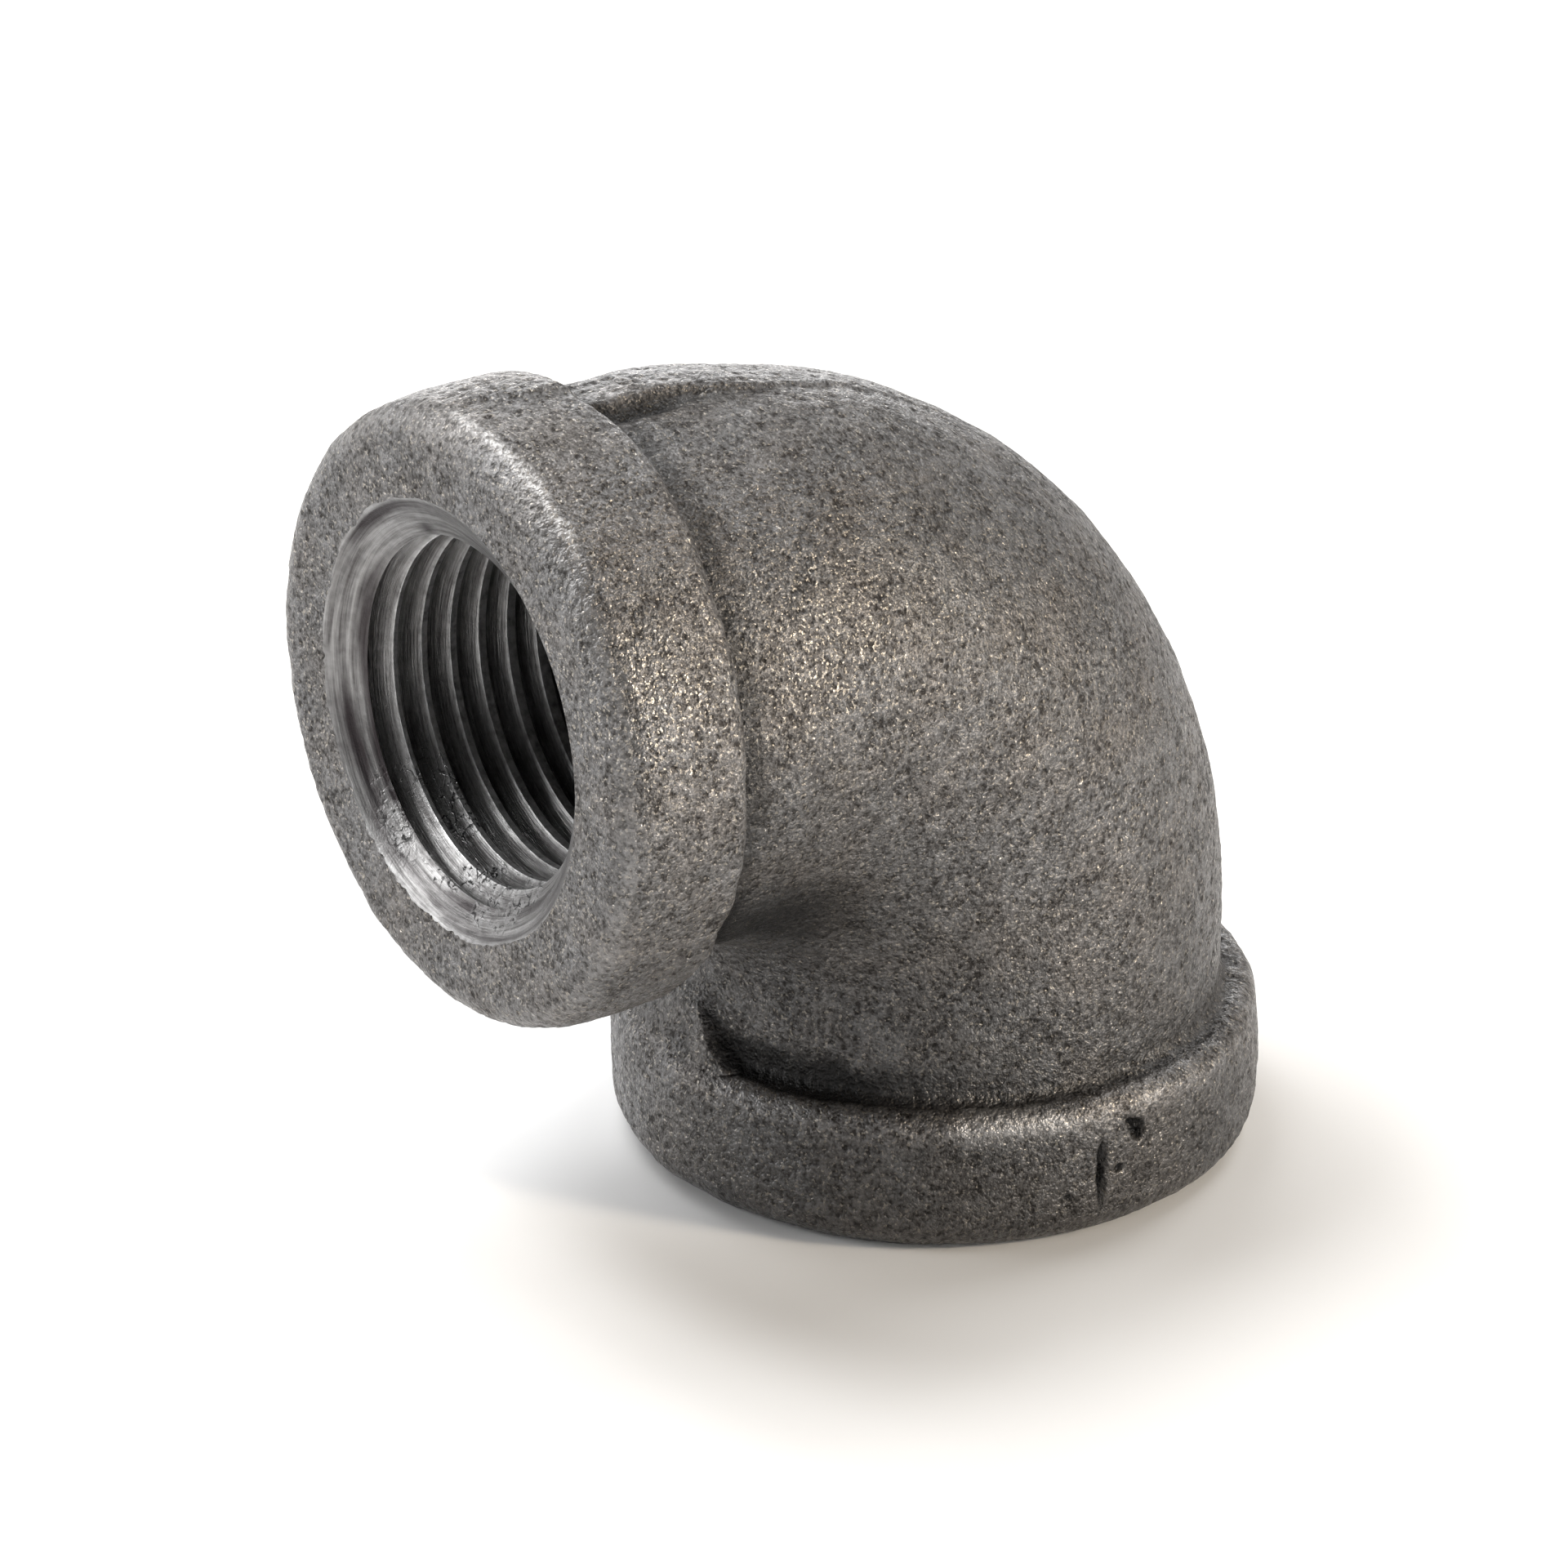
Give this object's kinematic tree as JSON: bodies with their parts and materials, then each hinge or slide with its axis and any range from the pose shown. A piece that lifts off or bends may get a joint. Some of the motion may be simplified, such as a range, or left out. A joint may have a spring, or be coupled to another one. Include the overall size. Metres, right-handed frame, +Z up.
{
  "type": "pipe elbow",
  "caption": "90 degree banded malleable-iron pipe elbow with a female taper thread in each port, joining two pipes at a right angle.",
  "frame": {"origin": "centre of the outlet port's face, on which the elbow stands", "axes": "+Z up along the outlet's axis, -Y out of the inlet port, X across the plane of the bend"},
  "size_m": [0.0264, 0.0373, 0.0373],
  "materials": {
    "as_cast_iron": "fine grainy as-cast malleable iron skin with a dark oiled oxide, lighter where it is worn",
    "machined_iron": "tapped and countersunk iron, satin, with fine turning marks and a film of cutting oil"
  },
  "bodies": {
    "root": {"elbow_body": "as_cast_iron", "inlet_band": "as_cast_iron", "outlet_band": "as_cast_iron", "inlet_thread": "machined_iron", "outlet_thread": "machined_iron"}
  },
  "joints": []
}
